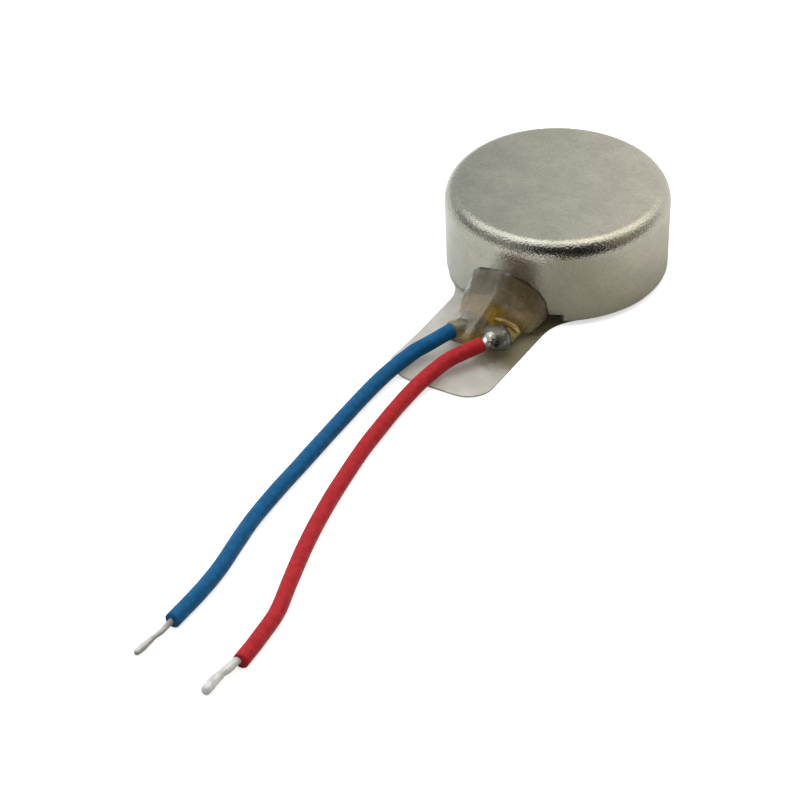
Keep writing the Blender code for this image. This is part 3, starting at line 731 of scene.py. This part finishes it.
def with_modifiers(mesh, *steps):
    """The mesh after these modifiers, each given as its type and its settings."""
    holder = bpy.data.objects.new("holder", mesh)
    link(holder)
    for kind, settings in steps:
        modifier = holder.modifiers.new(kind.title(), kind)
        for key, value in settings.items():
            setattr(modifier, key, value)
    graph = bpy.context.evaluated_depsgraph_get()
    made = bpy.data.meshes.new_from_object(holder.evaluated_get(graph))
    bpy.data.objects.remove(holder)
    return made


def ring_faces(rings, count):
    """The faces between each ring of this many vertices and the next one."""
    faces = []
    for r in range(rings - 1):
        here, onward = r * count, (r + 1) * count
        for k in range(count):
            n = (k + 1) % count
            faces.append((here + k, here + n, onward + n, onward + k))
    return faces


def arc(radius, start, end, count, centre=(0, 0)):
    """Points on an arc, with both of its ends. The angles are in degrees."""
    points = []
    for i in range(count + 1):
        angle = math.radians(start + (end - start) * i / count)
        points.append((centre[0] + radius * math.cos(angle), centre[1] + radius * math.sin(angle)))
    return points


def smooth_step(t):
    t = min(1, max(0, t))
    return t * t * (3 - 2 * t)


def smooth_route(route, spacing):
    """Points on a smooth curve through the route's own points."""
    knots = [Vector(point) for point in route]
    knots = [2 * knots[0] - knots[1], *knots, 2 * knots[-1] - knots[-2]]
    points = []
    for a, b, c, d in zip(knots, knots[1:], knots[2:], knots[3:]):
        linear = c - a
        square = 2 * a - 5 * b + 4 * c - d
        cube = 3 * b - a - 3 * c + d
        count = max(1, round((c - b).length / spacing))
        for i in range(count):
            t = i / count
            points.append(0.5 * (2 * b + linear * t + square * t**2 + cube * t**3))
    return [*points, knots[-2]]


def swept(points, radius_at, sides, start_rim=(), end_rim=()):
    """A closed tube. radius_at(length, angle) gives its radius. A rim lists what follows an end
    ring, as distances beyond the end and shares of the radius, and closes on a centre point."""
    tangents = []
    for i in range(len(points)):
        ahead, behind = points[min(i + 1, len(points) - 1)], points[max(i - 1, 0)]
        tangents.append((ahead - behind).normalized())
    side = tangents[0].cross(Vector((0, 0, 1))).normalized()
    lengths = [0.0]
    for a, b in zip(points, points[1:]):
        lengths.append(lengths[-1] + (b - a).length)
    frames = []
    for tangent in tangents:
        side = (side - tangent * side.dot(tangent)).normalized()
        frames.append((side.copy(), tangent.cross(side)))
    rows = [(0, -beyond, share) for beyond, share in reversed(start_rim)]
    rows += [(i, 0, 1) for i in range(len(points))]
    rows += [(len(points) - 1, beyond, share) for beyond, share in end_rim]
    vertices = []
    for index, beyond, share in rows:
        across, upward = frames[index]
        middle = points[index] + tangents[index] * beyond
        for k in range(sides):
            angle = 2 * math.pi * k / sides
            reach = radius_at(lengths[index], angle) * share
            vertices.append(middle + (across * math.cos(angle) + upward * math.sin(angle)) * reach)
    faces = ring_faces(len(rows), sides)
    for row in (0, len(rows) - 1):
        index, beyond, _ = rows[row]
        centre = len(vertices)
        vertices.append(points[index] + tangents[index] * beyond)
        faces += [(row * sides + k, row * sides + (k + 1) % sides, centre) for k in range(sides)]
    return mesh_from(vertices, faces)


def blobs_joined(solids, voxel, smoothing):
    """Overlapping closed meshes melted into one skin, with soft hollows where they meet."""
    shape = bmesh.new()
    for solid in solids:
        shape.from_mesh(solid)
    return with_modifiers(
        mesh_of(shape),
        ("REMESH", {"mode": "VOXEL", "voxel_size": voxel}),
        ("SMOOTH", {"factor": 0.5, "iterations": smoothing}),
    )


def ellipsoid(centre, size, turn=(0, 0, 0)):
    """A closed ball stretched to these half sizes, and turned by these degrees about X, Y and Z."""
    shape = bmesh.new()
    rotation = Matrix.Identity(4)
    for axis, angle in zip("XYZ", turn):
        rotation = Matrix.Rotation(math.radians(angle), 4, axis) @ rotation
    matrix = Matrix.Translation(centre) @ rotation @ Matrix.Diagonal((*size, 1))
    bmesh.ops.create_uvsphere(shape, u_segments=40, v_segments=24, radius=1, matrix=matrix)
    return mesh_of(shape)


def block(low, high):
    shape = bmesh.new()
    middle = (Vector(low) + Vector(high)) / 2
    size = Vector(high) - Vector(low)
    matrix = Matrix.Translation(middle) @ Matrix.Diagonal((*size, 1))
    bmesh.ops.create_cube(shape, size=1, matrix=matrix)
    return mesh_of(shape)


def post(radius, low, high, sides=128):
    shape = bmesh.new()
    matrix = Matrix.Translation((0, 0, (low + high) / 2))
    ends = {"cap_ends": True, "radius1": radius, "radius2": radius}
    bmesh.ops.create_cone(shape, segments=sides, depth=high - low, matrix=matrix, **ends)
    return mesh_of(shape)


def cut_away(mesh, *tools):
    """The mesh less each of these closed meshes."""
    holders = []
    steps = []
    for tool in tools:
        holder = bpy.data.objects.new("tool", tool)
        link(holder)
        holders.append(holder)
        steps.append(("BOOLEAN", {"operation": "DIFFERENCE", "object": holder, "solver": "EXACT"}))
    made = with_modifiers(mesh, *steps)
    for holder in holders:
        bpy.data.objects.remove(holder)
    return made


# ---------------------------------------------------------------- the pieces


def case_shell(material):
    """The drawn cup: one skin outside and one inside, with the window left open low in its wall."""
    inner_radius = CUP_RADIUS - CUP_DRAFT - CUP_WALL
    inner_fillet = CUP_EDGE_REACH - CUP_WALL
    inner_top = CUP_TOP - CUP_LID
    window_levels = [CUP_BASE + CUP_LIP, 0.3, 0.4, WINDOW_TOP]
    wall_levels = [0.8, 1.2, 1.6, 2.0, 2.3, 2.6]
    lid_rings = (3.38, 3.1, 2.6, 2.0, 1.4, 0.7)
    inner_lid_rings = (0.7, 1.4, 2.4)
    wall_foot = CUP_RADIUS - CUP_DRAFT
    wall_height = CUP_TOP - CUP_EDGE_DROP - CUP_BASE

    def outer_radius(z):
        return wall_foot + CUP_DRAFT * (z - CUP_BASE) / wall_height

    outer = [(wall_foot - CUP_LIP, CUP_BASE)]
    outer += [(outer_radius(z), z) for z in window_levels + wall_levels]
    outer += [
        (CUP_RADIUS + CUP_EDGE_REACH * (x - 1), CUP_TOP + CUP_EDGE_DROP * (z - 1))
        for x, z in arc(1, 0, 90, 18)
    ]
    outer += [(r, CUP_TOP) for r in lid_rings]
    inner = [(r, inner_top) for r in inner_lid_rings]
    inner_centre = (inner_radius - inner_fillet, inner_top - inner_fillet)
    inner += arc(inner_fillet, 90, 0, 6, inner_centre)
    inner += [(inner_radius, z) for z in reversed(window_levels + wall_levels)]
    inner.append((inner_radius + CUP_LIP, CUP_BASE))
    profile = outer + inner
    count = CUP_COLUMNS
    vertices = []
    for radius, z in profile:
        for k in range(count):
            angle = 2 * math.pi * k / count
            vertices.append((radius * math.cos(angle), radius * math.sin(angle), z))
    first, last = (round(count * angle / 360) for angle in WINDOW_ANGLES)
    faces = []
    rows = len(profile)

    def at(row, column):
        return (row % rows) * count + column % count

    def in_window(row):
        return profile[row % rows][1] <= WINDOW_TOP + 1e-6

    for row in range(rows):
        if row == len(outer) - 1:
            continue
        for k in range(count):
            if first <= k < last and in_window(row) and in_window(row + 1):
                continue
            faces.append((at(row, k), at(row, k + 1), at(row + 1, k + 1), at(row + 1, k)))
    for row, height in ((len(outer) - 1, CUP_TOP), (len(outer), inner_top)):
        vertices.append((0, 0, height))
        faces += [(at(row, k), at(row, k + 1), len(vertices) - 1) for k in range(count)]
    # The window's own faces: its ceiling, then its two ends
    top_outer = len(window_levels)
    top_inner = rows - 1 - top_outer
    for k in range(first, last):
        front = (at(top_outer, k), at(top_outer, k + 1))
        faces.append((*front, at(top_inner, k + 1), at(top_inner, k)))
    for k in (first, last):
        for step in range(top_outer):
            back = rows - 1 - step
            faces.append((at(step, k), at(step + 1, k), at(back - 1, k), at(back, k)))
    bevel = {"width": EDGE_BREAK, "segments": 2, "limit_method": "ANGLE", "angle_limit": 0.9}
    mesh = with_modifiers(mesh_from(vertices, faces), ("BEVEL", bevel))
    as_piece("case_shell", mesh, material, ["case_cup"])


def ridge_form(stations, base):
    """A closed form through sections that face Y. Each is its y, then its (x, z) skyline from left
    to right, and goes down to the base at both ends."""
    vertices = []
    for y, skyline in stations:
        left, right = skyline[0][0], skyline[-1][0]
        vertices += [(left, y, base), *((x, y, z) for x, z in skyline), (right, y, base)]
    count = len(stations[0][1]) + 2
    faces = ring_faces(len(stations), count)
    faces.append(tuple(range(count)))
    faces.append(tuple(range((len(stations) - 1) * count, len(stations) * count)))
    return mesh_from(vertices, faces)


def wrap_of_blue_end():
    """The resin round the start of the blue insulation."""
    reach_behind, reach_ahead, drop, thickness = 0.45, 0.04, 0.12, 0.06
    start, onward = Vector(BLUE_ROUTE[0]), Vector(BLUE_ROUTE[1])
    ahead = (onward - start).normalized()
    behind = start - ahead * reach_behind - Vector((0, 0, drop))
    points = smooth_route([behind, start, start + ahead * reach_ahead], 0.08)
    return swept(
        points, lambda length, angle: LEAD_RADIUS + thickness, 28, [(0.06, 0.7)], [(0.03, 0.85)]
    )


def resin_blob(material):
    """Glue that has run from the wall over the window, the circuit's tail and the blue lead's
    joint."""
    solids = [ridge_form(RESIN_SECTIONS, 0), wrap_of_blue_end()]
    mesh = blobs_joined(solids, RESIN_VOXEL, RESIN_SMOOTHING)
    into_tail = 0.06
    below = block((-5, -9, -2), (5, 0, FLEX_TOP - into_tail))
    mid_wall = post(CUP_RADIUS - CUP_DRAFT - CUP_WALL / 2, -3, 6)
    mesh = cut_away(mesh, below, mid_wall)
    as_piece("resin_blob", mesh, material, ["glue_blob"])


def solder_blob(name, parts, material, stands_for, lumps, seed, dents):
    """Solder that has wetted its land and the wire, then set a little uneven. Each dent has its
    offset from the first part's middle, its radius and its depth."""
    corners = [vertex.co for vertex in parts[0].vertices]
    middle = sum(corners, Vector()) / len(corners)
    lumps_per_mm = 2.2
    mesh = blobs_joined(parts, SOLDER_VOXEL, SOLDER_SMOOTHING)
    for vertex in mesh.vertices:
        push = lumps * noise.noise(vertex.co * lumps_per_mm + Vector((seed, 0, 0)))
        for offset, radius, depth in dents:
            push -= depth * math.exp(-(((vertex.co - middle - offset).length / radius) ** 2))
        vertex.co += vertex.normal * push
    as_piece(name, mesh, material, [stands_for])


def solder_ball_red(material):
    """A ball over the end of the red lead, pitted where the wire went in."""
    x, y, z = BALL_CENTRE
    neck_place = BALL_CENTRE.lerp(Vector(RED_ROUTE[0]), 0.7)
    parts = [
        ellipsoid((x, y, z), (0.52, 0.5, 0.46)),
        ellipsoid((x - 0.03, y + 0.14, FLEX_TOP + 0.04), (0.56, 0.46, 0.12)),
        ellipsoid(neck_place, (0.24, 0.28, 0.22), (0, 0, 35)),
    ]
    # The second dent is a small swelling at the pit's upper rim
    dents = [
        (Vector((0.13, -0.46, 0.1)), 0.16, 0.2),
        (Vector((0.0, -0.43, 0.2)), 0.1, -0.05),
        (Vector((0.28, -0.4, -0.2)), 0.1, 0.05),
    ]
    solder_blob("solder_ball_red", parts, material, "solder_joint_red", 0.035, 3.1, dents)


def solder_ball_blue(material):
    """The other joint, with the bare wire that runs on from it into the blue insulation."""
    x, y, z = INNER_JOINT_CENTRE
    parts = [
        ellipsoid((x, y + 0.25, z - 0.12), (0.3, 0.32, 0.2)),
        ellipsoid((x, y + 0.25, FLEX_TOP + 0.04), (0.38, 0.4, 0.07)),
        ellipsoid((x - 0.02, y - 0.25, z - 0.02), (0.1, 0.45, 0.1), (-8, 0, 0)),
    ]
    solder_blob("solder_ball_blue", parts, material, "solder_joint_blue", 0.03, 7.7, [])


def flux_residue(material):
    """The crust that has set along the resin's foot, behind the red joint."""

    def radius_at(length, angle):
        lump = noise.noise(Vector((length * 3, math.cos(angle), math.sin(angle))))
        taper = 0.45 * (length / CRUST_LENGTH - 0.5) ** 2
        return CRUST_RADIUS * (1 - taper + 0.5 * lump)

    rim = [(0.02, 0.85), (0.04, 0.5)]
    mesh = swept(smooth_route(CRUST_ROUTE, 0.04), radius_at, 20, rim, rim)
    as_piece("flux_residue", mesh, material)


def insulated_lead(name, route, material, stands_for, seed):
    """Insulation with a slightly uneven skin, cut a little roughly round its wire at both ends."""

    def radius_at(length, angle):
        where = Vector((length * 0.9, math.cos(angle) * 0.5, math.sin(angle) * 0.5 + seed))
        return LEAD_RADIUS * (0.985 + 0.03 * noise.noise(where))

    rim = [(0.02, 0.95), (0.035, 0.84), (0.04, 0.6), (0.03, 0.4)]
    mesh = swept(smooth_route(route, 0.12), radius_at, 28, rim, rim)
    as_piece(name, mesh, material, [stands_for])


def width_at(widths, along):
    """The width at this share of the length, eased between the listed ones."""
    for (start, first), (end, last) in zip(widths, widths[1:]):
        if start <= along < end:
            return first + (last - first) * smooth_step((along - start) / (end - start))
    return widths[-1][1]


def bare_end(name, route, widths, material, stands_for, seed):
    """Twisted strands filled with tin, uneven along their length, with the tin gathered at the
    tip."""
    points = smooth_route(route, 0.03)
    total = sum((b - a).length for a, b in zip(points, points[1:]))
    strands, turns_per_mm = 7, 0.55
    ridge_height, lump_height = 0.04, 0.1

    def radius_at(length, angle):
        along = length / total
        twist = math.cos(strands * (angle - 2 * math.pi * turns_per_mm * length))
        ridge = ridge_height * (1 - smooth_step(along * 1.8)) * twist
        lump = lump_height * noise.noise(Vector((length * 2.4, seed, math.sin(angle) * 0.4)))
        return WIRE_RADIUS * (width_at(widths, along) + ridge + lump)

    nose = [(0.035, 0.97), (0.075, 0.84), (0.11, 0.62), (0.13, 0.34)]
    mesh = swept(points, radius_at, 5 * strands, [(0.0, 0.6)], nose)
    as_piece(name, mesh, material, [stands_for])


def liner(material):
    """The peel-off film: a disc with a pull tab that lifts a little at its free corner."""
    radius, thickness = LINER_HIGH.x, LINER_HIGH.z
    end = LINER_LOW.y
    disc_rows, tab_rows, corner_rows, columns = 24, 70, 14, 40

    def side_reach(y, fillet):
        """How far the outline is from the middle line, on the side that has this fillet."""
        fillet_x = TAB_HALF_WIDTH + fillet
        fillet_y = -math.sqrt((radius + fillet) ** 2 - fillet_x**2)
        if y >= fillet_y * radius / (radius + fillet):
            return math.sqrt(max(0, radius**2 - y**2))
        if y >= fillet_y:
            return fillet_x - math.sqrt(fillet**2 - (y - fillet_y) ** 2)
        inset = TAB_CORNER - max(0, y - end)
        if inset <= 0:
            return TAB_HALF_WIDTH
        return TAB_HALF_WIDTH - TAB_CORNER + math.sqrt(max(0, TAB_CORNER**2 - inset**2))

    def height_at(x, y):
        corner = smooth_step((TAB_RISE_Y - y) / 2.4) * smooth_step((TAB_RISE_X - x) / 1.2)
        return TAB_LIFT * corner + TAB_END_LIFT * smooth_step((TAB_END_RISE_Y - y) / 1.2)

    straight = end + TAB_CORNER
    rows = [radius * math.cos(math.pi / 2 * k / disc_rows) for k in range(disc_rows)]
    rows += [straight * k / tab_rows for k in range(tab_rows)]
    for k in range(corner_rows + 1):
        rows.append(end + TAB_CORNER * (1 - math.sin(math.pi / 2 * k / corner_rows)))
    vertices = []
    for level in (1, 0):
        for y in rows:
            shift = TAB_OFFSET * smooth_step(-y / CUP_RADIUS)
            left, right = (side_reach(y, fillet) for fillet in TAB_FILLETS)
            for k in range(columns + 1):
                x = -left + (left + right) * k / columns + shift
                vertices.append((x, y, height_at(x, y) + level * thickness))
    faces = []
    wide = columns + 1
    below = len(rows) * wide
    for r in range(len(rows) - 1):
        for k in range(columns):
            a, b = r * wide + k, (r + 1) * wide + k
            faces.append((a, a + 1, b + 1, b))
            faces.append((below + a, below + b, below + b + 1, below + a + 1))
        for edge in (0, columns):
            a, b = r * wide + edge, (r + 1) * wide + edge
            faces.append((a, b, below + b, below + a))
    for r in (0, len(rows) - 1):
        for k in range(columns):
            a = r * wide + k
            faces.append((a, a + 1, below + a + 1, below + a))
    mesh = mesh_from(vertices, faces, weld=1e-5)
    as_piece("liner", mesh, material, ["release_liner"])


def dress(material, *nodes):
    """A CAD node keeps its shape and takes this material."""
    for name in nodes:
        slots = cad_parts[name].data.materials
        slots.clear()
        slots.append(material)


add_camera()
add_world()
add_floor()

bpy.context.scene.view_settings.view_transform = "Standard"

SOLDER = solder()
TINNED = tinned_wire()
RED = insulation("red_insulation", (0.4, 0.013, 0.02), (0.5, 0.022, 0.03))
BLUE = insulation("blue_insulation", (0.001, 0.085, 0.22), (0.003, 0.12, 0.3))

case_shell(satin_nickel())
resin_blob(clear_resin())
solder_ball_red(SOLDER)
solder_ball_blue(SOLDER)
flux_residue(plain("dried_flux", (0.34, 0.25, 0.08), 0.3, size=0.2, spread=0.3, depth=0.01))
insulated_lead("red_insulation", RED_ROUTE, RED, "red_lead", 2.0)
insulated_lead("blue_insulation", BLUE_ROUTE, BLUE, "blue_lead", 9.0)
bare_end("red_tinned_end", RED_END_ROUTE, RED_END_WIDTHS, TINNED, "red_lead_end", 4.0)
bare_end("blue_tinned_end", BLUE_END_ROUTE, BLUE_END_WIDTHS, TINNED, "blue_lead_end", 6.0)
liner(liner_film())

dress(polyimide(), "flex_circuit")
for name, colour, roughness, metallic, nodes in PLAIN_FINISHES:
    dress(plain(name, colour, roughness, metallic), *nodes)
for coil in ("coil_1", "coil_2"):
    dress(wound_copper(coil.replace("coil", "enamelled_copper"), coil), coil)
